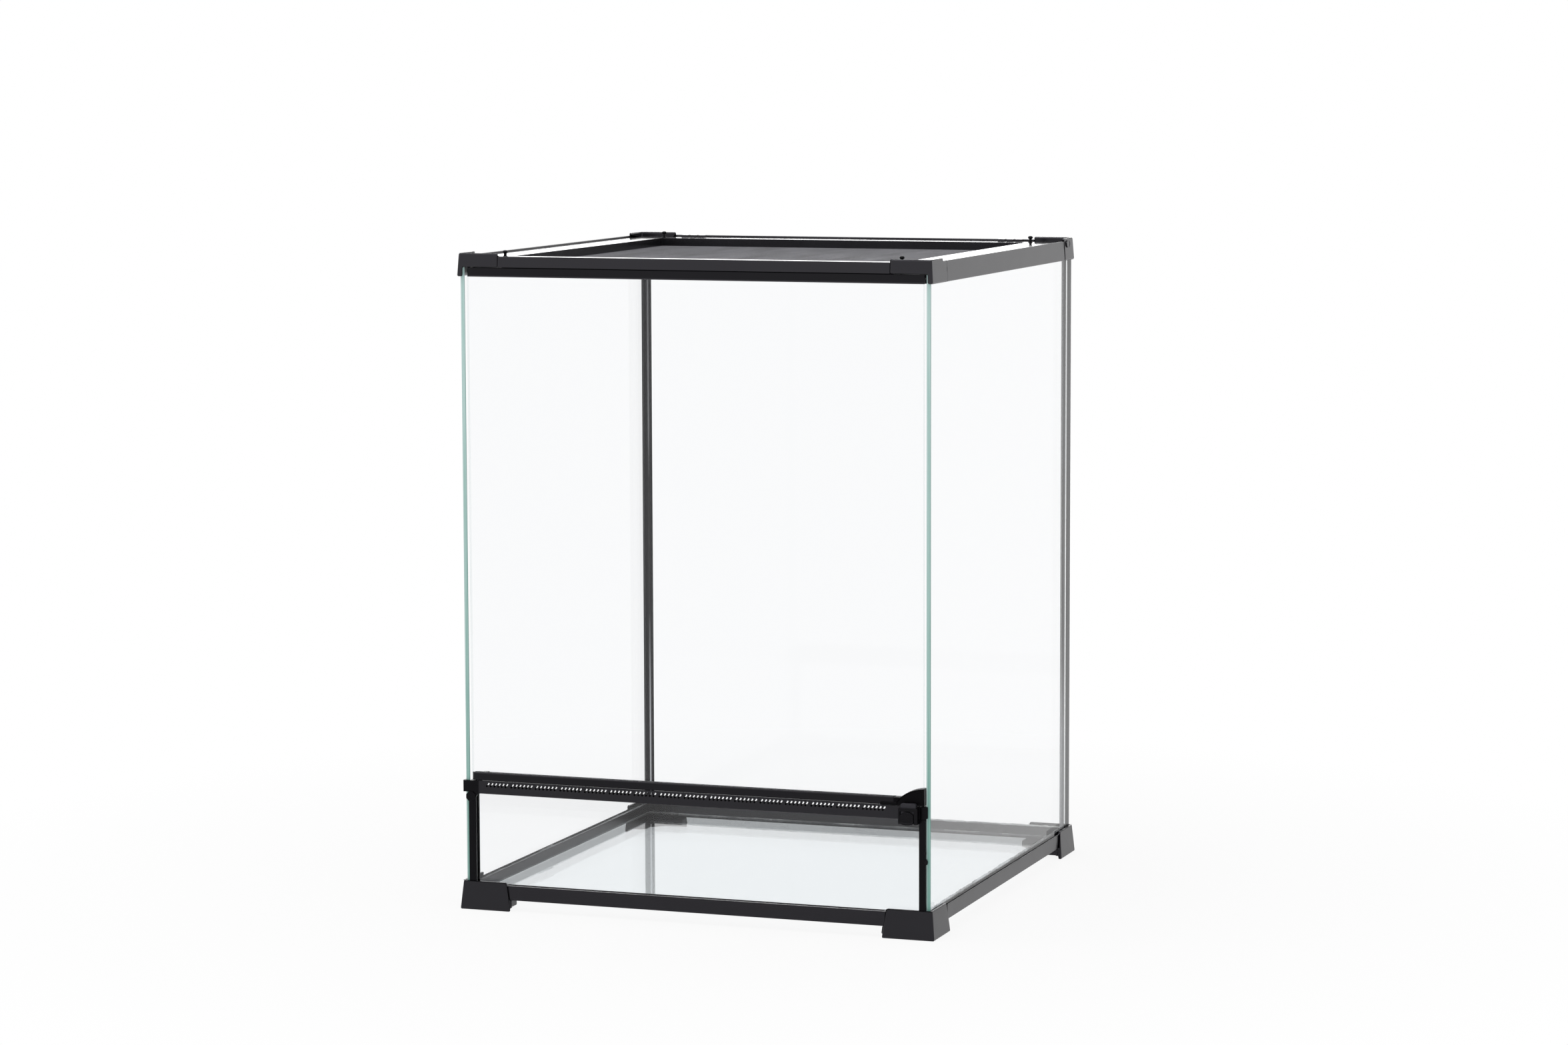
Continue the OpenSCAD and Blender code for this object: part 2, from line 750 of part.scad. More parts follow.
// The handle ends the door's bottom rail and is notched where the latch's tongue stands
module door_handle() {
    tail_back = door_y - door_rail_d / 2;
    color(plastic) difference() {
        union() {
            along_y(handle_y, handle_y + handle_d) intersection() {
                translate([door_right, door_bottom + handle_h - handle_r]) circle(handle_r, $fn = 128);
                flat([handle_x, door_bottom], [door_right, door_bottom + handle_h]);
            }
            span([handle_x, door_y - door_rail_d / 2, door_bottom],
                 [handle_x + handle_w / 3, door_y + door_rail_d / 2, door_bottom + door_bottom_h]);
            span([handle_x - tail_len, handle_y, door_bottom], [handle_x + eps, tail_back, door_bottom + tail_h]);
        }
        span([handle_x - 1, door_y - pane_t / 2 - pane_gap, door_glass_z0 - pane_gap],
             [door_right - channel_wall + pane_gap, door_y + pane_t / 2 + pane_gap, case_h]);
        span([tongue_x - 3 * latch_gap, handle_y - 1, door_bottom - 1],
             [tongue_x + tongue_w + 3 * latch_gap, -half_d + ledge_w, tongue_top + 2 * latch_gap]);
    }
}

// ---- Lid ----

// Flange, inner wall and mesh lip of the lid in (inwards, up)
module lid_section() {
    flat([lid_edge, ledge_top], [lid_inner, flange_top]);
    flat([lid_drop, lid_bottom], [lid_inner, flange_top]);
    flat([lid_inner - eps, lid_bottom], [lid_inner + mesh_lip, mesh_z]);
}

// Both cable ports, cut between two heights, drawn for the back
module ports(z0, z1) {
    for (end = [-1, 1]) translate([end * gate_x, 0, 0])
        span([-port_len / 2, port_from_back, z0], [port_len / 2, port_from_back + port_w, z1]);
}

// The track of the left-hand gate: a pocket with grooves at both edges
module gate_track() {
    x0 = -gate_x - gate_len / 2 - gate_gap;
    x1 = -gate_x + gate_len / 2 + gate_travel + gate_gap;
    u0 = gate_bar - gate_gap;
    u1 = gate_bar + gate_w + gate_gap;
    span([x0, u0, gate_z - gate_gap], [x1, u1, flange_top + 1]);
    span([x0, u0 - gate_tongue, gate_z - gate_gap], [x1, u1 + gate_tongue, gate_z + gate_tongue_t + gate_gap]);
}

module lid_rail(side) {
    half_len = (side == "left" || side == "right" ? half_d : half_w) - lid_corner_leg;
    color(plastic) at_side(side) difference() {
        along_x(-half_len, half_len) lid_section();
        if (side == "back") {
            ports(ledge_top - 1, flange_top + 1);
            gate_track();
            mirror([1, 0, 0]) gate_track();
        }
    }
}

module lid_corner(right, back) {
    leg = lid_corner_leg;
    wall = lid_drop;
    lip = lid_inner + mesh_lip;
    color(plastic) at_corner(right, back) difference() {
        union() {
            for (turn = [0, 1]) mirror([turn, -turn, 0]) {
                span([lid_edge, lid_edge, ledge_top], [leg, lid_inner, flange_top]);
                span([wall, wall, lid_bottom], [leg, lid_inner, flange_top]);
                span([wall, wall, lid_bottom], [leg, lip, mesh_z]);
            }
        }
        translate([pin_from_side, pin_from_front, ledge_top - 1]) cylinder(r = pin_r + pin_fit, h = flange_t + 2);
    }
}

// A plain grid that stands for the woven wire
module lid_mesh() {
    reach_x = half_w - lid_inner - lid_gap / 2;
    reach_y = half_d - lid_inner - lid_gap / 2;
    cell_x = (2 * reach_x - mesh_bar) / mesh_cells;
    cell_y = (2 * reach_y - mesh_bar) / mesh_cells;
    color(steel) translate([0, 0, mesh_z]) linear_extrude(mesh_t) difference() {
        flat([-reach_x, -reach_y], [reach_x, reach_y]);
        for (i = [0 : mesh_cells - 1], j = [0 : mesh_cells - 1])
            translate([-reach_x + mesh_bar + i * cell_x, -reach_y + mesh_bar + j * cell_y])
                square([cell_x - mesh_bar, cell_y - mesh_bar]);
    }
}

// A push pin that locks the lid's corner to the ledge
module lid_pin(right, back) {
    color(plastic) at_corner(right, back) translate([pin_from_side, pin_from_front, 0]) {
        translate([0, 0, pin_tip_z]) cylinder(r = pin_r, h = flange_top - pin_tip_z + eps);
        translate([0, 0, flange_top]) cylinder(r = pin_head_r * 0.8, h = pin_head_h - pin_head_r);
        translate([0, 0, flange_top + pin_head_h - pin_head_r]) sphere(pin_head_r);
    }
}

module cable_gate(right) {
    color(plastic) at_side("back") mirror([right ? 1 : 0, 0, 0]) translate([-gate_x - gate_len / 2, 0, 0]) {
        span([0, gate_bar, gate_z], [gate_len, gate_bar + gate_w, gate_top]);
        span([0, gate_bar - gate_tongue, gate_z], [gate_len, gate_bar + gate_w + gate_tongue, gate_z + gate_tongue_t]);
        for (i = [0 : rib_count - 1])
            translate([rib_gap + i * (rib_w + rib_gap), gate_bar, gate_top - eps]) cube([rib_w, gate_w * 0.4, rib_h]);
    }
}

// ---- Nodes ----

base_rail("front");  // base_rail_front
base_rail("back");  // base_rail_back
base_rail("left");  // base_rail_left
base_rail("right");  // base_rail_right
foot(false, false);  // foot_front_left
foot(true, false);  // foot_front_right
foot(false, true);  // foot_back_left
foot(true, true);  // foot_back_right
floor_glass();
side_glass("left");  // left_glass
side_glass("right");  // right_glass
back_glass();
front_low_glass();
back_post(false);  // back_left_post
back_post(true);  // back_right_post
upright(false);  // upright_left
upright(true);  // upright_right
pane_seal();
floor_seal();
vent_rail();
vent_bracket_left();
vent_bracket_right();
bracket_cap();
latch_box();
latch_spring();
latch_tongue();
latch_button();
top_rail_front();
top_rail_back();
top_rail_side("left");  // top_rail_left
top_rail_side("right");  // top_rail_right
top_corner(false, false);  // top_corner_front_left
top_corner(true, false);  // top_corner_front_right
top_corner(false, true);  // top_corner_back_left
top_corner(true, true);  // top_corner_back_right
door_glass();
door_top_rail();
door_bottom_rail();
door_handle();
hinge_pin_top();
hinge_pin_bottom();
lid_rail("front");  // lid_rail_front
lid_rail("back");  // lid_rail_back
lid_rail("left");  // lid_rail_left
lid_rail("right");  // lid_rail_right
lid_corner(false, false);  // lid_corner_front_left
lid_corner(true, false);  // lid_corner_front_right
lid_corner(false, true);  // lid_corner_back_left
lid_corner(true, true);  // lid_corner_back_right
lid_mesh();
lid_pin(false, false);  // lid_pin_front_left
lid_pin(true, false);  // lid_pin_front_right
lid_pin(false, true);  // lid_pin_back_left
lid_pin(true, true);  // lid_pin_back_right
cable_gate(false);  // cable_gate_left
cable_gate(true);  // cable_gate_right
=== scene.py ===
"""Looks of a front-opening glass reptile terrarium: moulded plastic, panes, woven lid mesh and silicone."""

import json
import math

import bpy
from mathutils import Matrix, Vector

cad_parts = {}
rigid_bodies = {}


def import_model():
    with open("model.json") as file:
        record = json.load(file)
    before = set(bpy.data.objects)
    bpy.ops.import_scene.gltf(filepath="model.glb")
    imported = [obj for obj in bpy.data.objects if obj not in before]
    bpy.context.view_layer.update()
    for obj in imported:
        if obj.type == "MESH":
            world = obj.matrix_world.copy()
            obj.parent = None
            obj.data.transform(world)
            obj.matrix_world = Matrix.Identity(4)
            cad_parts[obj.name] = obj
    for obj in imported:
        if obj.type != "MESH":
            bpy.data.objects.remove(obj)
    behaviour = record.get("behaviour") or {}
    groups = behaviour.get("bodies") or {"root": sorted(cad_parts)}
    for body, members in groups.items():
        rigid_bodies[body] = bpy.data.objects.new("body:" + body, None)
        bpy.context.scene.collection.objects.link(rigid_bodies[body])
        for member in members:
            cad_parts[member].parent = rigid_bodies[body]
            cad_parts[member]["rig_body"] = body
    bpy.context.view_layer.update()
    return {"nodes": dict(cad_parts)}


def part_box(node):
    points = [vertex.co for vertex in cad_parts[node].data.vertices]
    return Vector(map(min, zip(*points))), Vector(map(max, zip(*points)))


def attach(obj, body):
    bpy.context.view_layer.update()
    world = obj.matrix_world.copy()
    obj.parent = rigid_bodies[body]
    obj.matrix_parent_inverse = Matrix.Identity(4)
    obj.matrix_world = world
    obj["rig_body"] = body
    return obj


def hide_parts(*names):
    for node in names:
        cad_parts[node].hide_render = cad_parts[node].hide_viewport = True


MM = 0.001
CASE, LID, DOOR = "case", "lid", "door"
SIDES = ("front", "back", "left", "right")
CORNERS = ("front_left", "front_right", "back_left", "back_right")

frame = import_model()
NODES = frame["nodes"]
BODY_OF = {name: node["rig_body"] for name, node in NODES.items()}


def box_mm(node):
    """The low and high corners of a CAD node, in millimetres."""
    low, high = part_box(node)
    return low / MM, high / MM


# ---- Shader sockets ----

def plug(tree, value, socket):
    """Links a Socket or sets a plain value."""
    if isinstance(value, Socket):
        tree.links.new(value.out, socket)
    elif value is not None:
        socket.default_value = value


class Socket:
    """An output of a node. Arithmetic on it adds Math nodes."""

    def __init__(self, tree, out):
        self.tree = tree
        self.out = out

    def maths(self, operation, *values):
        """A Math node on these values."""
        node = self.tree.nodes.new("ShaderNodeMath")
        node.operation = operation
        for value, socket in zip(values, node.inputs):
            plug(self.tree, value, socket)
        return Socket(self.tree, node.outputs[0])

    def __add__(self, other):
        return self.maths("ADD", self, other)

    def __radd__(self, other):
        return self.maths("ADD", other, self)

    def __sub__(self, other):
        return self.maths("SUBTRACT", self, other)

    def __rsub__(self, other):
        return self.maths("SUBTRACT", other, self)

    def __mul__(self, other):
        return self.maths("MULTIPLY", self, other)

    def __rmul__(self, other):
        return self.maths("MULTIPLY", other, self)

    def __pow__(self, other):
        return self.maths("POWER", self, other)

    def over(self, limit):
        """1 above the limit and 0 below it."""
        return self.maths("GREATER_THAN", self, limit)

    def spread(self, low, high):
        """0 below low, 1 above high, with a clamp."""
        scaled = self.maths("SUBTRACT", self, low) * (1 / (high - low))
        scaled.out.node.use_clamp = True
        return scaled


class Finish:
    """One material's node tree."""

    def __init__(self, name):
        self.material = bpy.data.materials.new(name)
        self.material.use_nodes = True
        self.tree = self.material.node_tree
        self.tree.nodes.clear()

    def node(self, kind, settings=None, inputs=None, out=0):
        """Any node: its settings are made first, then its sockets."""
        made = self.tree.nodes.new(kind)
        for key, value in (settings or {}).items():
            setattr(made, key, value)
        for key, value in (inputs or {}).items():
            plug(self.tree, value, made.inputs[key])
        return Socket(self.tree, made.outputs[out])

    def place(self, scale=(1, 1, 1), turn=(0, 0, 0)):
        """Object coordinates in millimetres, scaled and turned."""
        here = self.node("ShaderNodeTexCoord", out="Object")
        size = tuple(1000 * s for s in scale)
        inputs = {"Vector": here, "Scale": size, "Rotation": turn}
        return self.node("ShaderNodeMapping", {"vector_type": "POINT"}, inputs)

    def axes(self, vector):
        """The x, y and z of a vector."""
        made = self.tree.nodes.new("ShaderNodeSeparateXYZ")
        plug(self.tree, vector, made.inputs[0])
        return [Socket(self.tree, out) for out in made.outputs]

    def noise(self, place, scale, detail=2.0, rough=0.5):
        return self.node("ShaderNodeTexNoise", None,
                         {"Vector": place, "Scale": scale, "Detail": detail, "Roughness": rough})

    def blend(self, mask, low, high):
        """The low colour where the mask is 0 and the high one where it is 1."""
        return self.node("ShaderNodeMix", {"data_type": "RGBA"}, {0: mask, 6: low, 7: high}, 2)

    def bump(self, height, distance, strength=1.0):
        return self.node("ShaderNodeBump", None,
                         {"Height": height, "Distance": distance, "Strength": strength})

    def mixed(self, share, first, second):
        """The first shader, with this share of the second."""
        return self.node("ShaderNodeMixShader", None, {0: share, 1: first, 2: second})

    def clear(self, tint):
        """Seen through unbent, in this tint."""
        return self.node("ShaderNodeBsdfTransparent", None, {"Color": tint})

    def surface(self, shader):
        """Ends the tree in this shader and returns the material."""
        out = self.tree.nodes.new("ShaderNodeOutputMaterial")
        self.tree.links.new(shader.out, out.inputs["Surface"])
        return self.material

    def principled(self, **inputs):
        """The usual shader, its sockets named with underscores."""
        spaced = {key.replace("_", " "): value for key, value in inputs.items()}
        return self.node("ShaderNodeBsdfPrincipled", None, spaced)


def grey(value, tint=(1.0, 1.0, 1.0)):
    """A grey of this brightness, leaning to a tint."""
    return (value * tint[0], value * tint[1], value * tint[2], 1.0)


# ---- Finishes ----

BLUISH = (0.97, 0.96, 1.14)          # black plastic and painted wire lean to violet blue
PANE_OUT, PANE_IN = 222.5, 218.5     # outer and inner face of the side panes, mm from the middle


def moulded_plastic(name, tone, roughness, sheen, polish=0.0):
    """Injection-moulded plastic: fine spark-eroded grain, faint flow marks, rubbed patches.
    Polish is how much smoother the upward faces are, where the tool was buffed."""
    f = Finish(name)
    place = f.place()
    grain = f.noise(place, 2.6, 3.0, 0.6)
    flow = f.noise(f.place((0.02, 0.02, 0.09)), 1.0, 3.0, 0.55)
    rubbed = f.noise(place, 0.07, 4.0, 0.6).spread(0.45, 0.75)
    shade = (flow * 0.6 + grain * 0.4).spread(0.25, 0.75)
    colour = f.blend(shade, grey(tone * 0.75, BLUISH), grey(tone * 1.3, BLUISH))
    up = f.axes(f.node("ShaderNodeNewGeometry", out="Normal"))[2]
    worn = roughness + grain * 0.05 - rubbed * 0.04 - up.spread(0.7, 0.98) * polish
    shader = f.principled(Base_Color=colour, Roughness=worn, IOR=1.5, Specular_IOR_Level=sheen,
                          Specular_Tint=(0.93, 0.90, 1.0, 1), Normal=f.bump(grain, 0.00001, 0.25))
    return f.surface(shader)


def pane_face(name, tint=(0.988, 0.990, 0.992, 1), rise=8, least=0.022):
    """Polished float glass, smeared where it was wiped. Its reflection is least when seen square on,
    and a higher rise holds it back until the pane is seen at a slant."""
    f = Finish(name)
    smear = f.noise(f.place((0.004, 0.004, 0.011)), 1.0, 4.0, 0.6).spread(0.4, 0.8)
    gloss = f.node("ShaderNodeBsdfGlossy", None,
                   {"Color": (1, 1, 1, 1), "Roughness": 0.01 + smear * 0.03})
    tilt = f.node("ShaderNodeLayerWeight", None, {"Blend": 0.5}, "Facing")
    return f.surface(f.mixed(tilt ** rise * 0.97 + least, f.clear(tint), gloss))


def side_pane_edge():
    """The side panes' front cut: sea green, with painted light: darker at the foot and paler towards the
    top, a painted highlight along its outer arris and painted shade along the inner one.
    """
    f = Finish("side_pane_edge")
    streak = f.noise(f.place((0.9, 0.9, 0.012)), 1.0, 3.0, 0.6)
    x, _, z = f.axes(f.place())
    across = (x - x.over(0) * (PANE_OUT + PANE_IN) + PANE_OUT) * (1 / (PANE_OUT - PANE_IN))
    # Painted light: the green is darker at the foot and paler towards the top.
    painted_light_climb = (z + streak * 90).spread(30, 560)     # darker at the foot, paler towards the top
    low = f.blend(streak.spread(0.3, 0.7), (0.16, 0.42, 0.35, 1), (0.26, 0.54, 0.46, 1))
    high = f.blend(streak.spread(0.35, 0.65), (0.54, 0.80, 0.75, 1), (0.70, 0.92, 0.89, 1))
    colour = f.blend(painted_light_climb, low, high)
    # A painted highlight along the outer arris, then painted shade along the inner arris.
    colour = f.blend((1 - across).spread(0.62, 0.8) * 0.5, colour, (0.74, 0.92, 0.90, 1))
    colour = f.blend(across.spread(0.84, 0.96) * 0.5, colour, (0.06, 0.17, 0.15, 1))
    shader = f.principled(Base_Color=colour, Roughness=0.22 + streak * 0.1, IOR=1.5,
                          Specular_IOR_Level=0.5)
    return f.surface(shader)


def plain_pane_edge():
    """The other cuts: arrissed, dusty and nearly clear."""
    f = Finish("plain_pane_edge")
    streak = f.noise(f.place((0.5, 0.5, 0.05)), 1.0, 3.0, 0.6)
    dust = f.blend(streak, (0.30, 0.37, 0.37, 1), (0.52, 0.60, 0.60, 1))
    ground = f.principled(Base_Color=dust, Roughness=0.3 + streak * 0.15, IOR=1.5)
    return f.surface(f.mixed(0.02 + streak * 0.08, f.clear((0.94, 0.96, 0.96, 1)), ground))


def silicone(name, share, white=0.86):
    """Clear acetic silicone, cured milky in patches, with trapped air and a tooled skin.
    Share is how much of the skin shows at most."""
    f = Finish(name)
    lump = f.noise(f.place(), 0.35, 4.0, 0.6)
    patch = f.noise(f.place((0.03, 0.03, 0.2)), 1.0, 3.0, 0.65).spread(0.4, 0.62)
    milk = lump.spread(0.3, 0.7)
    colour = f.blend(milk, grey(white * 0.6, (0.98, 1, 1)), grey(white, (0.99, 1, 1)))
    skin = f.principled(Base_Color=colour, Roughness=0.24 + milk * 0.2, IOR=1.4,
                        Specular_IOR_Level=0.6, Normal=f.bump(lump, 0.0005, 0.6))
    return f.surface(f.mixed((0.25 + patch * 0.75) * share, f.clear((0.96, 0.97, 0.98, 1)), skin))


def woven_wire():
    """Powder-coated wire with painted light streaks: paler leaning bands across the weave."""
    f = Finish("woven_wire")
    light_streak_band = f.noise(f.place((0.05, 0.012, 0.05), (0, 0, 0.6)), 1.0, 2.0, 0.5)
    speck = f.noise(f.place(), 1.7, 2.0, 0.6)
    # The painted light streaks and random specks set the wire's colour and roughness.
    shade = (light_streak_band * 0.7 + speck * 0.3).spread(0.3, 0.7)
    colour = f.blend(shade, grey(0.035, BLUISH), grey(0.085, BLUISH))
    shader = f.principled(Base_Color=colour, Roughness=0.42 - shade * 0.12, IOR=1.5,
                          Specular_IOR_Level=0.5, Normal=f.bump(speck, 0.00003, 0.5))
    return f.surface(shader)


def highlight_climb_finish(name, foot_highlight, head_highlight, middle_tone):
    """Polished plastic down a corner, with painted light: a pale painted highlight at its foot, a fainter
    one at its head, and dark half way up.
    """
    f = Finish(name)
    streak = f.noise(f.place((0.5, 0.5, 0.02)), 1.0, 3.0, 0.6)
    height = f.axes(f.place())[2]
    foot = 1 - (height + streak * 80).spread(150, 260)
    head = (height + streak * 60).spread(380, 440)
    # The painted highlights at the foot and the head, over the middle tone.
    highlight_level = foot * foot_highlight + head * head_highlight + middle_tone
    colour = f.blend(highlight_level, grey(0.0), grey(1.0, (0.97, 0.98, 1.02)))
    return f.surface(f.principled(Base_Color=colour, Roughness=0.2 + streak * 0.1, IOR=1.5,
                                  Specular_IOR_Level=0.3))


def bright_steel():
    """Drawn steel wire and rod with fine lengthwise marks."""
    f = Finish("bright_steel")
    drawn = f.noise(f.place((3.0, 3.0, 0.15)), 1.0, 2.0, 0.6)
    colour = f.blend(drawn.spread(0.3, 0.7), grey(0.42), grey(0.62))
    shader = f.principled(Base_Color=colour, Metallic=1.0, Roughness=0.24 + drawn * 0.16)
    return f.surface(shader)


# Copies of one black plastic. The lower tones and sheens of every copy but the top plastic are painted
# shade, for parts that sit low, sit in recesses or face dark surroundings. The latch tongue's grey is its
# own colour.
TOP_PLASTIC = moulded_plastic("top_plastic", 0.0085, 0.20, 0.42, 0.06)
LID_PLASTIC = moulded_plastic("lid_plastic", 0.0060, 0.20, 0.40, 0.10)
BASE_PLASTIC = moulded_plastic("base_plastic", 0.0060, 0.24, 0.32)
POST_PLASTIC = moulded_plastic("post_plastic", 0.0045, 0.18, 0.22)
UPRIGHT_PLASTIC = moulded_plastic("upright_plastic", 0.0030, 0.24, 0.10)
DOOR_PLASTIC = moulded_plastic("door_plastic", 0.0040, 0.24, 0.20)
HANDLE_PLASTIC = moulded_plastic("handle_plastic", 0.0030, 0.38, 0.06)
LATCH_PLASTIC = moulded_plastic("latch_plastic", 0.0026, 0.26, 0.14)
GREY_PLASTIC = moulded_plastic("grey_plastic", 0.030, 0.34, 0.28)
GLASS_FACE = pane_face("pane_face")
RIGHT_FACE = pane_face("right_pane_face", rise=6)
BACK_FACE = pane_face("back_pane_face", least=0.007)
# The floor pane's darker tint is painted shade for the shadowed floor seen through it under the case.
FLOOR_FACE = pane_face("floor_pane_face", (0.920, 0.943, 0.953, 1), 5)
GLASS_EDGE = side_pane_edge()
PLAIN_EDGE = plain_pane_edge()
FAINT_SILICONE = silicone("silicone_faint", 0.25)
WHITE_SILICONE = silicone("silicone_white", 0.9)
CLEAR_SILICONE = silicone("silicone_clear", 0.5, 0.6)
JAGGED_SILICONE = silicone("silicone_jagged", 0.7, 0.62)
# A painted highlight line for the back posts: pale at the foot, fainter at the head.
POST_HIGHLIGHT = highlight_climb_finish("post_highlight", 0.6, 0.24, 0.012)
# The right back post's finish is a painted lit copy of the post plastic, with a painted highlight at its
# foot.
PAINTED_LIT_POST = highlight_climb_finish("painted_lit_post", 0.32, 0.0, 0.07)
# The side panes' back cut: its faint paler foot is a painted highlight.
SEALED_CUT = highlight_climb_finish("sealed_cut", 0.03, 0.0, 0.06)
WIRE = woven_wire()
STEEL = bright_steel()


# ---- Modelling by hand ----

def only(*objects):
    """Selects these objects and nothing else; the first is active."""
    bpy.ops.object.select_all(action="DESELECT")
    for o in objects:
        o.select_set(True)
    bpy.context.view_layer.objects.active = objects[0]
    return objects[0]


def settle(obj):
    """Puts the object's place into its mesh."""
    only(obj)
    bpy.ops.object.transform_apply(location=True, rotation=True, scale=True)
    return obj


def apply(obj, kind, **settings):
    """Adds a modifier with these settings and applies it."""
    only(obj)
    modifier = obj.modifiers.new(kind.lower(), kind)
    for key, value in settings.items():
        setattr(modifier, key, value)
    bpy.ops.object.modifier_apply(modifier=modifier.name)
    return obj


def soften(obj, width, segments=2, angle=30, smooth=35, clamped=False):
    """Rounds every sharp edge and shades the rest smooth, with the flat faces kept flat."""
    apply(obj, "BEVEL", width=width * MM, segments=segments, limit_method="ANGLE",
          angle_limit=math.radians(angle), use_clamp_overlap=clamped)
    return smoothed(obj, smooth)


def smoothed(obj, angle=35):
    """Shades smooth all but the edges sharper than this angle."""
    only(obj)
    bpy.ops.object.shade_smooth_by_angle(angle=math.radians(angle))
    return apply(obj, "WEIGHTED_NORMAL", keep_sharp=True, weight=50)


def pick(obj, mode, test):
    """Selects the corners, edges or faces whose middle (mm) and own data pass the test, in edit mode."""
    only(obj)
    bpy.ops.object.mode_set(mode="EDIT")
    bpy.ops.mesh.select_mode(type=mode)
    bpy.ops.mesh.select_all(action="DESELECT")
    bpy.ops.object.mode_set(mode="OBJECT")
    mesh = obj.data
    parts = {"VERT": mesh.vertices, "EDGE": mesh.edges, "FACE": mesh.polygons}[mode]
    for part in parts:
        if mode == "VERT":
            part.select = test(part.co / MM, part, None)
            continue
        corners = [mesh.vertices[i].co for i in part.vertices]
        middle = sum(corners, Vector()) / len(corners) / MM
        part.select = test(middle, part, corners)
    bpy.ops.object.mode_set(mode="EDIT")


def span(corners):
    """Length of an edge in millimetres."""
    return (corners[0] - corners[1]).length / MM


def bevelled(obj, width, segments, test):
    """Rounds the picked edges only."""
    pick(obj, "EDGE", test)
    bpy.ops.mesh.bevel(offset=width * MM, segments=segments, affect="EDGES", clamp_overlap=False)
    bpy.ops.object.mode_set(mode="OBJECT")
    return obj


def sunk(obj, rim, depth, test):
    """Insets the picked faces and pushes the middle in, which leaves a raised rim."""
    pick(obj, "FACE", test)
    bpy.ops.mesh.inset(thickness=rim * MM, depth=-depth * MM, use_even_offset=True)
    bpy.ops.object.mode_set(mode="OBJECT")
    return obj


def named(obj, name):
    """Gives the object and its mesh one name."""
    obj.name = name
    obj.data.name = name
    return obj


def joined(name, *objects):
    """Makes the objects one piece."""
    only(*objects)
    bpy.ops.object.join()
    return named(objects[0], name)


def turned(name, centre, rings, sides=24):
    """A lathe-made piece: a disc drawn upwards ring by ring, each a radius and a height."""
    x, y = centre
    bpy.ops.object.select_all(action="DESELECT")
    radius, z = rings[0]
    bpy.ops.mesh.primitive_circle_add(vertices=sides, radius=radius * MM, fill_type="NGON",
                                      location=(x * MM, y * MM, z * MM))
    obj = settle(named(bpy.context.object, name))
    bpy.ops.object.mode_set(mode="EDIT")
    bpy.ops.mesh.select_all(action="SELECT")
    for next_radius, next_z in rings[1:]:
        rise = {"value": (0, 0, (next_z - z) * MM)}
        bpy.ops.mesh.extrude_region_move(TRANSFORM_OT_translate=rise)
        grow = next_radius / radius
        bpy.ops.transform.resize(value=(grow, grow, 1), center_override=(x * MM, y * MM, next_z * MM))
        radius, z = next_radius, next_z
    bpy.ops.mesh.select_all(action="SELECT")
    bpy.ops.mesh.normals_make_consistent(inside=False)
    bpy.ops.object.mode_set(mode="OBJECT")
    return obj


def block(name, low, high):
    """A cube primitive between two corners, in millimetres."""
    low, high = Vector(low) * MM, Vector(high) * MM
    bpy.ops.object.select_all(action="DESELECT")
    bpy.ops.mesh.primitive_cube_add(size=1, location=(low + high) / 2)
    obj = named(bpy.context.object, name)
    obj.scale = high - low
    return settle(obj)


def paint(obj, *materials):
    """Gives the piece these materials and no other."""
    obj.data.materials.clear()
    for material in materials:
        obj.data.materials.append(material)
    return obj


def hang(obj, body, slot, *replaced):
    """The piece rides on a body and stands for CAD nodes, which it hides. The slot is not used."""
    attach(obj, body)
    if replaced:
        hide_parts(*replaced)


def copied(obj, name, shift):
    """A copy with its own mesh, moved by this many millimetres."""
    only(obj)
    bpy.ops.object.duplicate()
    twin = named(bpy.context.object, name)
    twin.location = shift * MM
    return settle(twin)


def merged_copy(node, name):
    """A CAD node's shape as one clean mesh of whole faces."""
    obj = NODES[node].copy()
    obj.data = NODES[node].data.copy()
    bpy.context.scene.collection.objects.link(obj)
    named(obj, name)
    obj.parent = None
    for key in [k for k in obj.keys() if k.startswith("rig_")]:
        del obj[key]
    only(obj)
    bpy.ops.object.mode_set(mode="EDIT")
    bpy.ops.mesh.select_all(action="SELECT")
    bpy.ops.mesh.remove_doubles(threshold=0.002 * MM)
    bpy.ops.mesh.dissolve_limited(angle_limit=math.radians(1.0))
    bpy.ops.object.mode_set(mode="OBJECT")
    return obj


LID_SETTLE = 0.7     # the lid's flange and tray sit this much deeper than in the CAD
LEDGE_TOP = 592.0    # the flange's underside stays on this ledge
NEAR_LEDGE = 1.5     # corners this near the ledge's height belong to that underside


def settled(obj):
    """Presses the lid's flange and its tray down between the frame's lips."""
    pick(obj, "VERT", lambda middle, corner, ends: abs(middle.z - LEDGE_TOP) > NEAR_LEDGE)
    bpy.ops.transform.translate(value=(0, 0, -LID_SETTLE * MM))
    bpy.ops.object.mode_set(mode="OBJECT")
    return obj


def cut(obj, place, normal):
    """Saws off everything on the normal's side of a plane and closes the cut."""
    only(obj)
    bpy.ops.object.mode_set(mode="EDIT")
    bpy.ops.mesh.select_all(action="SELECT")
    bpy.ops.mesh.bisect(plane_co=Vector(place) * MM, plane_no=normal, use_fill=True, clear_outer=True)
    bpy.ops.object.mode_set(mode="OBJECT")
    return obj


RIGHT_POST_INSIDE = 214.3    # the right back post starts here: its inner leaf doesn't show


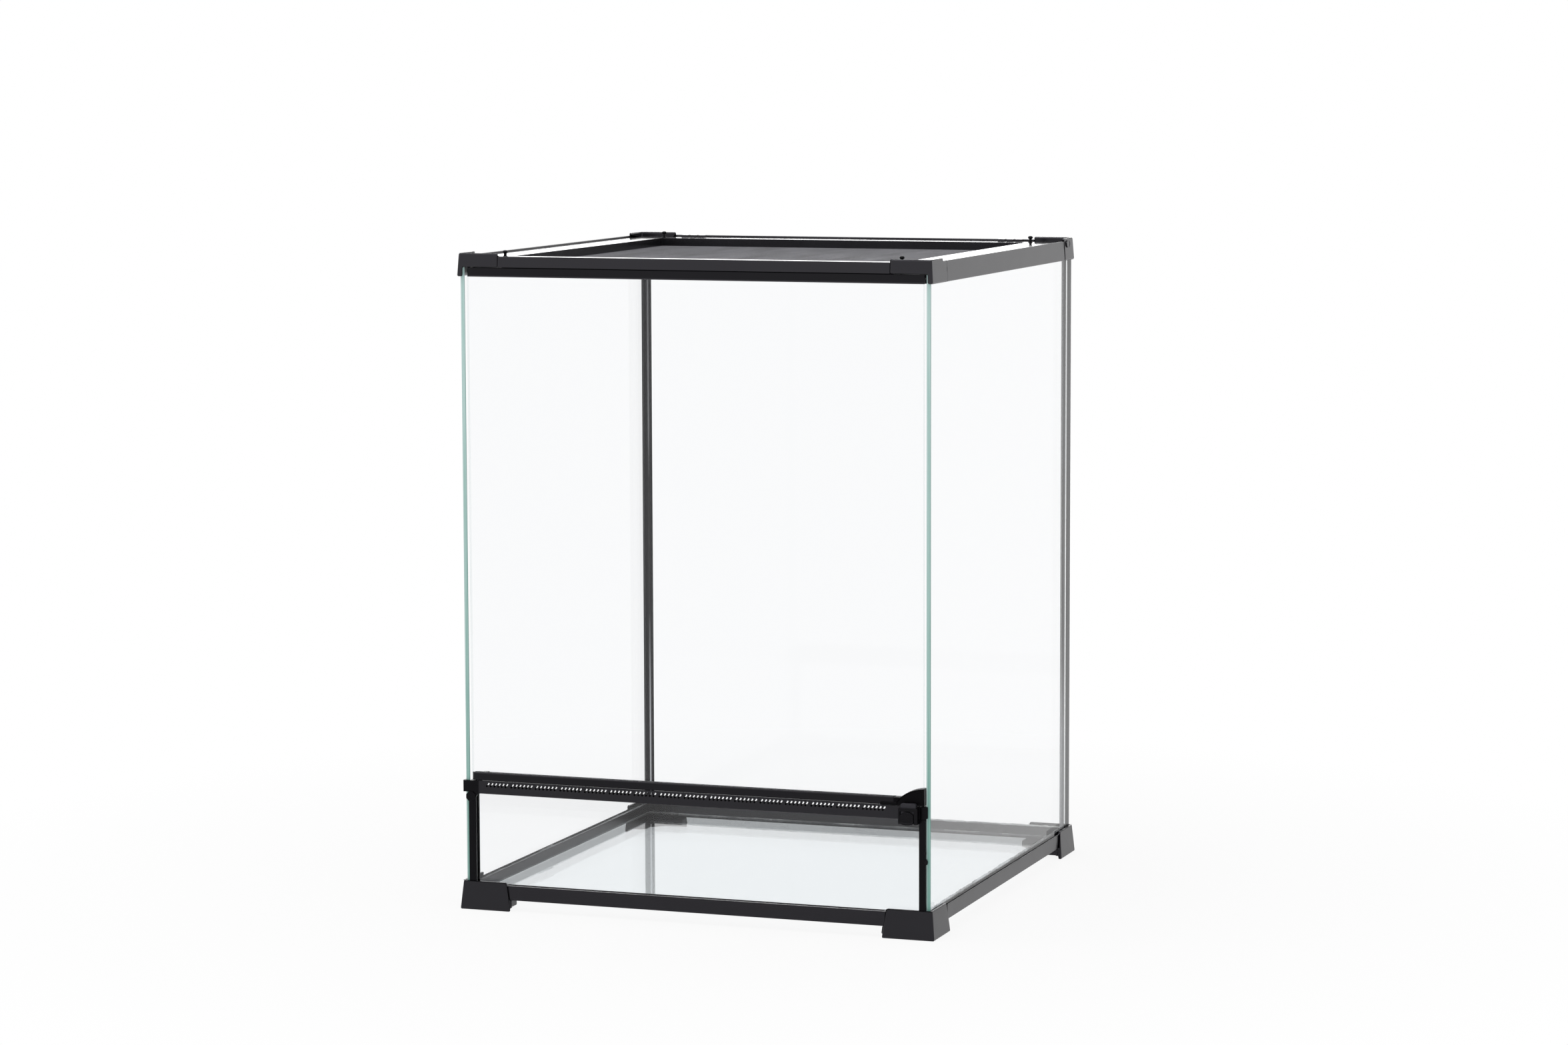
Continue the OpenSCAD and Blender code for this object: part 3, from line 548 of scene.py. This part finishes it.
def moulded(node, width, material, segments=2, clamped=False):
    """A moulded piece on its CAD node's shape, every edge broken as a tool leaves it."""
    obj = merged_copy(node, node + "_moulding")
    if node == "back_right_post":
        cut(obj, (RIGHT_POST_INSIDE, 0, 0), (-1, 0, 0))
    if node.startswith(("lid_", "cable_gate_")):
        settled(obj)
    soften(obj, width, segments, clamped=clamped)
    paint(obj, material)
    slot = "grey_plastic" if node == "latch_tongue" else "black_plastic"
    hang(obj, BODY_OF[node], slot, node)


ARRIS = 0.4    # the ground bevel round each pane


def pane(node, face, green_front=False):
    """A float glass pane: ground arrises round two polished faces, and a green cut where it shows."""
    low, high = box_mm(node)
    obj = block(node + "_pane", low, high)
    soften(obj, ARRIS, 1, 30, 10)
    paint(obj, face, PLAIN_EDGE, GLASS_EDGE, SEALED_CUT)
    size = high - low
    thin = min(range(3), key=lambda axis: size[axis])
    for side in obj.data.polygons:
        side.material_index = 0 if abs(side.normal[thin]) > 0.99 else 1
        if green_front and side.normal.y < -0.5:
            side.material_index = 2
        if green_front and side.normal.y > 0.5:
            side.material_index = 3
    hang(obj, BODY_OF[node], "clear_glass", node)


# ---- Panes ----

pane("floor_glass", FLOOR_FACE)
pane("left_glass", GLASS_FACE, True)
pane("right_glass", RIGHT_FACE, True)
pane("back_glass", BACK_FACE)
pane("front_low_glass", GLASS_FACE)
pane("door_glass", GLASS_FACE)


# ---- Mouldings: each with the width in millimetres to which its edges are broken ----

for side, corner in zip(SIDES, CORNERS):
    moulded("base_rail_" + side, 0.5, BASE_PLASTIC)
    moulded("top_rail_" + side, 0.7, TOP_PLASTIC, 3)
    moulded("lid_rail_" + side, 0.3, LID_PLASTIC)
    moulded("top_corner_" + corner, 1.5, TOP_PLASTIC, 4)
for corner in CORNERS:
    moulded("foot_" + corner, 1.4, BASE_PLASTIC, 4)
    moulded("lid_corner_" + corner, 0.3, LID_PLASTIC)
# The right post gets the painted lit copy of the post plastic.
for side, post_finish in (("left", POST_PLASTIC), ("right", PAINTED_LIT_POST)):
    moulded("back_" + side + "_post", 0.3, post_finish)
    moulded("upright_" + side, 0.3, UPRIGHT_PLASTIC)
moulded("vent_bracket_right", 0.8, UPRIGHT_PLASTIC, 3)
moulded("vent_bracket_left", 0.3, UPRIGHT_PLASTIC, 2, True)
moulded("bracket_cap", 0.35, UPRIGHT_PLASTIC)
for node in ("door_top_rail", "door_bottom_rail"):
    moulded(node, 0.5, DOOR_PLASTIC)
moulded("latch_box", 0.3, LATCH_PLASTIC, 3)
moulded("latch_tongue", 0.3, GREY_PLASTIC, 3)
for side in ("left", "right"):
    moulded("cable_gate_" + side, 0.25, LID_PLASTIC)


def vent_rail():
    """The vent rail's two long top and bottom edges are rounded; its slots are cut sharp."""
    obj = merged_copy("vent_rail", "vent_rail_moulding")
    front = box_mm("vent_rail")[0].y
    bevelled(obj, 0.2, 2, lambda middle, edge, ends: span(ends) > 300 and middle.y < front + 0.1)
    smoothed(paint(obj, BASE_PLASTIC), 30)
    hang(obj, CASE, "black_plastic", "vent_rail")


def vent_backing():
    """A thin dark web behind the slots' lower half, so that only their upper half shows through: painted
    shade for the slots' lower halves.
    """
    low, high = box_mm("vent_rail")
    obj = block("vent_slot_backing", (low.x + 3, low.y + 2.6, low.z + 6.0),
                (high.x - 3, low.y + 3.8, low.z + 7.7))
    bevelled(obj, 0.3, 2, lambda middle, edge, ends: span(ends) > 100)
    smoothed(paint(obj, LATCH_PLASTIC), 30)
    hang(obj, CASE, "black_plastic")


def joint_shade_strip():
    """A thin dark strip that stands behind the joint between vent rail and door rail, up to the latch:
    painted shade, so that the joint shows as a dark line.
    """
    low, high = box_mm("vent_rail")
    obj = block("vent_draught_strip", (low.x - 2, high.y + 0.1, high.z - 1.2),
                (high.x - 26, high.y + 0.9, high.z + 2.2))
    bevelled(obj, 0.2, 1, lambda middle, edge, ends: span(ends) > 100)
    smoothed(paint(obj, UPRIGHT_PLASTIC), 30)
    hang(obj, CASE, "black_plastic")


def door_handle():
    """Quarter-round grip with a raised rim round a sunken face, its low thumb tail, and the root
    that carries it at the end of the door's bottom rail."""
    low, high = box_mm("door_handle")
    rail_low, rail_high = box_mm("door_bottom_rail")
    left = rail_high.x
    rise = high.z - low.z
    reach = high.x - left
    radius = (reach * reach + rise * rise) / (2 * rise)
    depth = high.y - low.y
    bpy.ops.object.select_all(action="DESELECT")
    centre = Vector((high.x, low.y + depth / 2, high.z - radius)) * MM
    bpy.ops.mesh.primitive_cylinder_add(vertices=160, radius=radius * MM, depth=depth * MM,
                                        location=centre, rotation=(math.pi / 2, 0, 0))
    grip = settle(bpy.context.object)
    cut(grip, (high.x, 0, 0), (1, 0, 0))
    cut(grip, (left + 2.2, 0, 0), (-1, 0, 0))
    cut(grip, (0, 0, low.z), (0, 0, -1))
    sunk(grip, 1.2, 0.9, lambda middle, face, ends: face.normal.y < -0.99)
    soften(grip, 0.4, 2)
    tail = block("tail", (low.x - 3.0, low.y + 0.1, low.z + 0.1), (left + 2.6, low.y + 2.4, low.z + 2.6))
    bevelled(tail, 1.1, 4, lambda middle, edge, ends: middle.z > low.z + 2.4 or middle.x < low.x - 2.5)
    smoothed(tail, 40)
    root = block("root", (left - 0.6, low.y + 1.2, rail_low.z + 0.1),
                 (left + 8, high.y - 0.4, rail_high.z - 0.1))
    bevelled(root, 0.5, 2, lambda middle, edge, ends: span(ends) > 8 and middle.z > rail_high.z - 1)
    smoothed(root, 40)
    obj = joined("door_handle_grip", grip, tail, root)
    paint(obj, HANDLE_PLASTIC)
    hang(obj, DOOR, "black_plastic", "door_handle")


def latch_button():
    """Push button with a thumb dish sunk in its face."""
    obj = merged_copy("latch_button", "latch_button_cap")
    sunk(obj, 1.3, 0.5, lambda middle, face, ends: face.normal.y < -0.9 and face.area > 2e-5)
    soften(obj, 0.3, 2)
    paint(obj, LATCH_PLASTIC)
    hang(obj, BODY_OF["latch_button"], "black_plastic", "latch_button")


def lid_pins():
    """Push pins, one of them turned and the others copied from it: a shaft through lid and ledge,
    a collar on the flange, a waist and a mushroom head."""
    low, high = box_mm("lid_pin_" + CORNERS[0])
    centre = ((low.x + high.x) / 2, (low.y + high.y) / 2)
    top = high.z
    shaft = ((1.1, low.z), (1.5, low.z + 0.6), (1.5, top - 6.3))
    collar = ((2.1, top - 6.2), (2.1, top - 5.4))
    waist = ((1.45, top - 4.9), (1.3, top - 2.7))
    head = ((2.05, top - 2.4), (2.38, top - 1.7), (2.3, top - 1.0), (1.8, top - 0.4),
            (1.0, top - 0.08), (0.3, top))
    first = turned("lid_pin_" + CORNERS[0] + "_plug", centre, shaft + collar + waist + head)
    smoothed(paint(first, LATCH_PLASTIC), 40)
    plugs = {CORNERS[0]: first}
    for corner in CORNERS[1:]:
        shift = box_mm("lid_pin_" + corner)[0] - low
        plugs[corner] = copied(first, "lid_pin_" + corner + "_plug", shift)
    for corner, plug_piece in plugs.items():
        node = "lid_pin_" + corner
        hang(plug_piece, BODY_OF[node], "black_plastic", node)


def snap_window(side):
    """Oval snap-fit window in a back corner's outer face: a thin raised lip round a sunken middle."""
    low, high = box_mm("top_corner_back_" + side)
    sign, face = (1, high.x) if side == "right" else (-1, low.x)
    middle_y, middle_z = 203.5, 594.6
    half_high, half_long = 3.5, 5.4      # the disc of radius 1 is stretched to these
    bpy.ops.object.select_all(action="DESELECT")
    bpy.ops.mesh.primitive_cylinder_add(
        vertices=32, radius=1, depth=1.0 * MM, rotation=(0, math.pi / 2, 0),
        location=((face - sign * 0.3) * MM, middle_y * MM, middle_z * MM))
    obj = named(bpy.context.object, "snap_window_" + side)
    obj.scale = (half_high * MM, half_long * MM, 1)
    settle(obj)
    sunk(obj, 0.45, 0.4, lambda middle, part, ends: part.normal.x * sign > 0.99)
    soften(obj, 0.08, 2)
    paint(obj, TOP_PLASTIC)
    hang(obj, CASE, "black_plastic")


def post_highlight(side):
    """A slim rib down the middle of a back post, painted with a highlight line."""
    start, end = (-214.7, -213.0) if side == "left" else (216.0, 216.7)
    front, back = 216.7, 217.3
    foot, head = 26, 579
    obj = block("post_highlight_" + side, (start, front, foot), (end, back, head))
    bevelled(obj, 0.25, 2, lambda middle, edge, ends: span(ends) > 100 and middle.y < front + 0.2)
    smoothed(paint(obj, POST_HIGHLIGHT), 30)
    hang(obj, CASE, "black_plastic")


def rail_lip(name, node, at_top):
    """A slim raised lip along one long edge of a door rail's front."""
    low, high = box_mm(node)
    foot = high.z - 0.7 if at_top else low.z
    obj = block(name, (low.x + 1.8, low.y - 0.45, foot), (high.x - 0.3, low.y + 0.6, foot + 1.4))
    bevelled(obj, 0.35, 2, lambda middle, edge, ends: span(ends) > 100 and middle.y < low.y)
    # The lip takes the paler top plastic instead of the door plastic: a painted highlight line along the
    # rail.
    smoothed(paint(obj, TOP_PLASTIC), 40)
    hang(obj, DOOR, "black_plastic")


def rail_bump():
    """A low rounded bump on the door's bottom rail, near the hinge."""
    top = box_mm("door_bottom_rail")[1].z
    obj = block("door_rail_bump", (-206.6, -222.6, top - 0.4), (-201.4, -216.2, top + 0.9))
    bevelled(obj, 0.8, 3, lambda middle, edge, ends: middle.z > top + 0.5)
    smoothed(paint(obj, DOOR_PLASTIC), 40)
    hang(obj, DOOR, "black_plastic")


def glue_blob(name, centre, radius, height):
    """A drop of black adhesive squeezed out beside the right upright."""
    x, y, z = centre
    swell = ((0.35, -1), (0.8, -0.7), (1, -0.2), (0.9, 0.3), (0.55, 0.75), (0.2, 1))
    obj = turned(name, (x, y), [(radius * wide, z + height * up) for wide, up in swell], 12)
    smoothed(paint(obj, LATCH_PLASTIC), 60)
    hang(obj, CASE, "black_plastic")


vent_rail()
vent_backing()
joint_shade_strip()
for side in ("left", "right"):
    snap_window(side)
    post_highlight(side)
rail_lip("door_top_rail_lip", "door_top_rail", False)
rail_lip("door_bottom_rail_lip", "door_bottom_rail", True)
rail_bump()
glue_blob("glue_blob_large", (218.9, -223.2, 70), 1.5, 2.6)
glue_blob("glue_blob_small", (218.2, -223.6, 78), 0.9, 2.0)
door_handle()
latch_button()
lid_pins()


# ---- Lid mesh ----

def wires(name, low, high, axis, pitch, radius):
    """A row of parallel wires along one axis, copied from one six-sided wire."""
    other = 1 - axis
    length = high[axis] - low[axis]
    count = int((high[other] - low[other]) / pitch)
    middle = [(low[i] + high[i]) / 2 * MM for i in range(3)]
    middle[other] = ((low[other] + high[other]) / 2 - pitch * (count - 1) / 2) * MM
    bpy.ops.object.select_all(action="DESELECT")
    turn = (0, math.pi / 2, 0) if axis == 0 else (math.pi / 2, 0, 0)
    bpy.ops.mesh.primitive_cylinder_add(vertices=6, radius=radius * MM, depth=length * MM,
                                        location=middle, rotation=turn)
    obj = settle(named(bpy.context.object, name))
    step = [0, 0, 0]
    step[other] = pitch * MM
    apply(obj, "ARRAY", count=count, use_relative_offset=False, use_constant_offset=True,
          constant_offset_displace=step)
    return smoothed(paint(obj, WIRE), 60)


def lid_mesh():
    """Woven wire in the lid's tray: the warp lies on the weft."""
    pitch, radius = 1.9, 0.17
    low, high = (corner - Vector((0, 0, LID_SETTLE)) for corner in box_mm("lid_mesh"))
    warp = wires("mesh_warp", (low.x, low.y, high.z - 2 * radius), high, 0, pitch, radius)
    weft = wires("mesh_weft", low, (high.x, high.y, low.z + 2 * radius), 1, pitch, radius)
    hang(warp, LID, "mesh", "lid_mesh")
    hang(weft, LID, "mesh")


lid_mesh()


# ---- Seals and steel ----

BEAD_STEP = 2.2    # length of a bead between two of its rings


def bead(name, start, end, radius, material, wander, lumps):
    """A run of silicone laid by hand: a rod whose skin wanders along its length, lump by lump."""
    start, end = Vector(start) * MM, Vector(end) * MM
    along = end - start
    axis = max(range(3), key=lambda i: abs(along[i]))
    turn = ((0, math.pi / 2, 0), (math.pi / 2, 0, 0), (0, 0, 0))[axis]
    bpy.ops.object.select_all(action="DESELECT")
    bpy.ops.mesh.primitive_cylinder_add(vertices=8, radius=radius * MM, depth=along.length,
                                        location=(start + end) / 2, rotation=turn)
    obj = bpy.context.object
    obj.name = name
    settle(obj)
    pick(obj, "EDGE", lambda middle, edge, ends: span(ends) > 50)
    bpy.ops.mesh.subdivide(number_cuts=int(along.length / MM / BEAD_STEP))
    bpy.ops.object.mode_set(mode="OBJECT")
    grain = bpy.data.textures.new(name + "_wander", "CLOUDS")
    grain.noise_scale = lumps * MM
    grain.noise_depth = 2
    apply(obj, "DISPLACE", texture=grain, texture_coords="LOCAL", strength=wander * MM, mid_level=0.5)
    return paint(obj, material)


def bead_across(name, left, right, y, z, *finish):
    """A bead from left to right; finish is its radius, material, wander and lumps."""
    return bead(name, (left, y, z), (right, y, z), *finish)


def bead_inward(name, front, back, x, z, *finish):
    """A bead from front to back; finish is its radius, material, wander and lumps."""
    return bead(name, (x, front, z), (x, back, z), *finish)


def pane_beads():
    """Silicone along the panes' feet: white at the back, ragged at the right, faint at the left."""
    low, high = box_mm("pane_seal")
    z = low.z + 0.7
    drips_front, drips_back = -64, -32
    back = bead_across("seal_back", low.x + 8, high.x - 1.5, high.y - 1.1, z, 0.9, WHITE_SILICONE, 1.7, 4.0)
    right = bead_inward("seal_right", low.y + 1, high.y - 3, high.x - 1.1, z, 1.2, JAGGED_SILICONE, 3.0, 3.0)
    left = bead_inward("seal_left", low.y + 1, high.y - 3, low.x + 1.1, z, 0.6, FAINT_SILICONE, 0.6, 6.0)
    drips = bead_inward("seal_left_drips", drips_front, drips_back, low.x + 1.2, z + 0.6, 0.9,
                        CLEAR_SILICONE, 2.4, 2.0)
    obj = joined("pane_seal_bead", back, right, left, drips)
    hang(smoothed(obj, 60), CASE, "clear_silicone", "pane_seal")


def floor_beads():
    """The ring of silicone round the floor pane."""
    low, high = box_mm("floor_seal")
    z = low.z + 0.65
    back = bead_across("bead_back", low.x + 1, high.x - 1, high.y - 0.8, z, 0.6, CLEAR_SILICONE, 0.4, 5.0)
    front = bead_across("bead_front", low.x + 1, high.x - 1, low.y + 0.8, z, 0.6, CLEAR_SILICONE, 0.4, 6.0)
    right = bead_inward("bead_right", low.y + 1, high.y - 1, high.x - 0.8, z, 0.6, CLEAR_SILICONE, 0.6, 5.0)
    left = bead_inward("bead_left", low.y + 1, high.y - 1, low.x + 0.8, z, 0.5, FAINT_SILICONE, 0.3, 8.0)
    obj = joined("floor_seal_bead", back, front, right, left)
    hang(smoothed(obj, 60), CASE, "clear_silicone", "floor_seal")


pane_beads()
floor_beads()
for node in ("hinge_pin_top", "hinge_pin_bottom"):
    pin = paint(soften(merged_copy(node, node + "_rod"), 0.15), STEEL)
    hang(pin, BODY_OF[node], "steel", node)
paint(NODES["latch_spring"], STEEL)


# ---- Studio ----

def seen_directly(tree):
    """1 for the eye, for mirrors and through glass, and 0 for the light that falls on things."""
    path = tree.nodes.new("ShaderNodeLightPath")
    seen = Socket(tree, path.outputs["Is Camera Ray"])
    for kind in ("Is Glossy Ray", "Is Transmission Ray"):
        seen = seen.maths("MAXIMUM", seen, Socket(tree, path.outputs[kind]))
    return seen


def studio_white(name, near):
    """White where it is seen directly, and a plain matt surface that keeps shadows near the case."""
    f = Finish(name)
    matt = f.node("ShaderNodeBsdfDiffuse", None, {"Color": (0.8, 0.8, 0.8, 1)})
    white = f.node("ShaderNodeEmission", None, {"Color": (1, 1, 1, 1), "Strength": 1.0})
    x, y, _ = f.axes(f.place())
    far = ((x * x + y * y) ** 0.5).spread(350, 900)
    share = far * (1 - near) + near
    return f.surface(f.mixed(seen_directly(f.tree) * share, matt, white))


def studio_floor():
    """The pale floor, which isn't part of the case."""
    bpy.ops.object.select_all(action="DESELECT")
    bpy.ops.mesh.primitive_plane_add(size=30, location=(0, 0, 0))
    floor = bpy.context.object
    floor.name = "studio_floor"
    paint(floor, studio_white("floor_white", 0.9))


def studio_world(fill):
    """White where it is seen directly, and a dimmer fill light all round."""
    world = bpy.data.worlds.new("studio")
    bpy.context.scene.world = world
    world.use_nodes = True
    tree = world.node_tree
    tree.nodes.clear()
    sky = tree.nodes.new("ShaderNodeBackground")
    sky.inputs["Color"].default_value = (1, 1, 1, 1)
    plug(tree, fill + seen_directly(tree) * (1 - fill), sky.inputs["Strength"])
    out = tree.nodes.new("ShaderNodeOutputWorld")
    tree.links.new(sky.outputs[0], out.inputs["Surface"])


def lamp(name, place, aim, size, watts):
    """A soft rectangular lamp aimed at a point, in metres."""
    data = bpy.data.lights.new(name, "AREA")
    data.shape = "RECTANGLE"
    data.size, data.size_y = size
    data.energy = watts
    obj = bpy.data.objects.new(name, data)
    bpy.context.scene.collection.objects.link(obj)
    obj.location = place
    obj.rotation_euler = (Vector(aim) - Vector(place)).to_track_quat("-Z", "Y").to_euler()
    obj.visible_camera = False


studio_floor()
studio_world(0.55)
lamp("top_lamp", (-0.3, -0.4, 2.6), (0, 0, 0.3), (1.6, 1.6), 30)
lamp("far_lamp", (-2.7, 8.0, 0.95), (0, 0, 0.6), (2.6, 0.8), 18)

bpy.context.scene.view_settings.view_transform = "Standard"


FRAME_WIDTH = 2352     # the rendered frame's width in pixels
SENSOR_WIDTH = 36


def camera(place, focal_length, yaw, pitch, roll):
    """A camera at place in millimetres, its angles in degrees and its focal length in pixels."""
    yaw, pitch, roll = (math.radians(a) for a in (yaw, pitch, roll))
    ahead = Vector((-math.sin(yaw) * math.cos(pitch), math.cos(yaw) * math.cos(pitch), -math.sin(pitch)))
    right = Vector((math.cos(yaw), math.sin(yaw), 0))
    up = right.cross(ahead)
    across = right * math.cos(roll) + up * math.sin(roll)
    above = up * math.cos(roll) - right * math.sin(roll)
    data = bpy.data.cameras.new("view")
    data.sensor_width = SENSOR_WIDTH
    data.lens = focal_length / FRAME_WIDTH * SENSOR_WIDTH
    obj = bpy.data.objects.new("view", data)
    bpy.context.scene.collection.objects.link(obj)
    turn = Matrix((across, above, -ahead)).transposed().to_4x4()
    obj.matrix_world = Matrix.Translation(Vector(place) * MM) @ turn
    bpy.context.scene.camera = obj


camera((1362.75, -3796.27, 791.3), 6487.04, 19.65, 6.39, -0.18)
